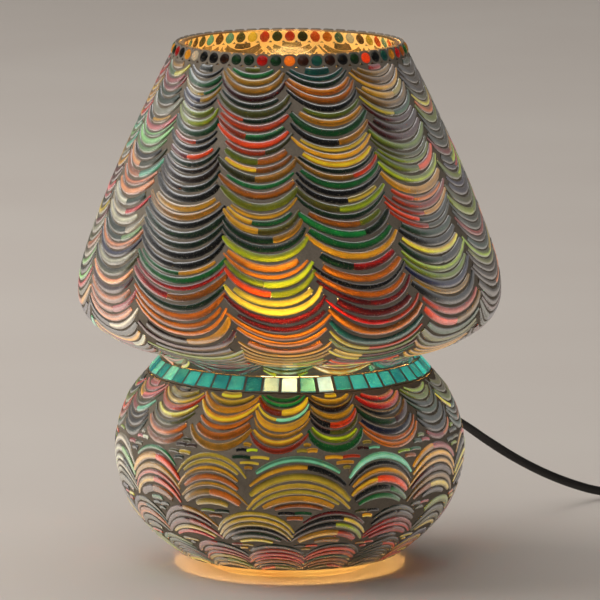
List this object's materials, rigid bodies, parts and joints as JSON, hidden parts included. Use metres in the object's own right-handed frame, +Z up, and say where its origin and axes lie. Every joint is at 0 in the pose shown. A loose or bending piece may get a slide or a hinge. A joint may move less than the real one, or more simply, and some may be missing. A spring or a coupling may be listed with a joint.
{
  "type": "mosaic glass table lamp",
  "caption": "Mushroom-shaped blown glass table lamp covered in curved mosaic glass strips, lit by a bulb inside, with a corded inline switch and plug.",
  "frame": {"origin": "centre of the foot ring, on the surface that the lamp stands on", "axes": "+Z up along the lamp's axis; -Y is the front; the cord leaves at the rear right, 50 degrees from +X towards +Y"},
  "size_m": [0.5017, 0.3314, 0.3008],
  "materials": {
    "blown_glass": "clear, slightly warm",
    "mosaic": "glass strips set in grey grout",
    "beads": "round glass beads set in grey grout",
    "tiles": "square turquoise glass tiles set in grey grout",
    "brass": "machined",
    "steel": "zinc plated",
    "rubber": "matt",
    "bakelite": "moulded, glossy",
    "contact_ceramic": "unglazed white",
    "bulb_glass": "clear",
    "phosphor": "glowing coating",
    "circuit_board": "resin board",
    "cord_sheath": "soft black sheath",
    "black_plastic": "fine satin moulding"
  },
  "bodies": {
    "lamp": {"glass_body": "blown_glass", "shade_mosaic": "mosaic", "base_mosaic": "mosaic", "rim_bead_band": "beads", "shoulder_tile_band": "tiles", "threaded_pipe": "brass", "lower_nut": "brass", "upper_nut": "brass", "holder_lock_nut": "brass", "centre_contact": "brass", "side_contact": "brass", "threaded_shell": "brass", "switch_contact": "brass", "lower_steel_washer": "steel", "upper_steel_washer": "steel", "terminal_screw_left": "steel", "terminal_screw_right": "steel", "switch_screw_left": "steel", "switch_screw_right": "steel", "plug_pin_left": "steel", "plug_pin_right": "steel", "lower_rubber_washer": "rubber", "upper_rubber_washer": "rubber", "cord_grommet": "rubber", "holder_cap": "bakelite", "holder_skirt": "bakelite", "contact_block": "contact_ceramic", "inner_cord": "cord_sheath", "cord_run": "cord_sheath", "cord_link": "cord_sheath", "cord_tail": "cord_sheath", "cord_coil": "cord_sheath", "cord_tie": "cord_sheath", "switch_lower_shell": "black_plastic", "switch_upper_shell": "black_plastic", "plug_body": "black_plastic"},
    "bulb_tip": {"bulb_tip_contact": "steel"},
    "bulb": {"bulb_cap": "steel", "bulb_insulator": "bakelite", "bulb_glass": "bulb_glass", "bulb_stem": "bulb_glass", "filament_support": "steel", "filament_1": "phosphor", "filament_2": "phosphor", "filament_3": "phosphor", "filament_4": "phosphor", "driver_board": "circuit_board"},
    "rocker": {"switch_rocker": "black_plastic"}
  },
  "joints": [
    {"name": "bulb_lift", "type": "slide", "parent": "lamp", "child": "bulb_tip", "axis": [0, 0, 1], "range_m": [0, 0.02177]},
    {"name": "bulb_turn", "type": "hinge", "parent": "bulb_tip", "child": "bulb", "pos_m": [0, 0, 0.085], "axis": [0, 0, 1], "range_deg": [0, 2162]},
    {"name": "switch_rock", "type": "hinge", "parent": "lamp", "child": "rocker", "pos_m": [0.259, 0.2, 0.0135], "axis": [0, 1, 0], "range_deg": [-16, 0]}
  ],
  "couplings": [
    {"joint": "bulb_turn", "follows": "bulb_lift", "rad_per_m": 1731.4}
  ]
}
